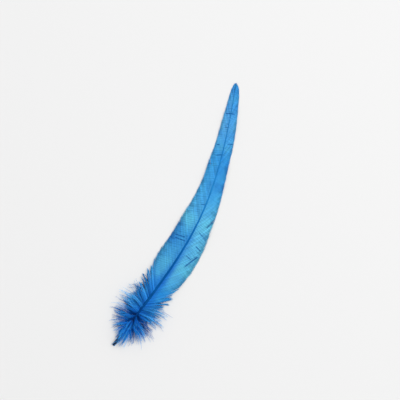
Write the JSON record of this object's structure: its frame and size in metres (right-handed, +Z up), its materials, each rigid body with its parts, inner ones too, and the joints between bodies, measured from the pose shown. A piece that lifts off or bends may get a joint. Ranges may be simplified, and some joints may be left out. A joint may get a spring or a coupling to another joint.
{
  "type": "feather",
  "caption": "Blue-dyed cockerel tail feather with a bare quill, bowed shaft, two tapering barbed vanes and a downy base, lying flat.",
  "frame": {"origin": "on the surface the feather lies on, under the middle of its box", "axes": "+Y from the quill end to the tip, +Z up from the surface, +X to the right seen from above with the tip away"},
  "size_m": [0.0702, 0.3144, 0.0085],
  "materials": {
    "feather": "satin, dyed"
  },
  "bodies": {
    "root": {"feather": "feather"}
  },
  "joints": []
}
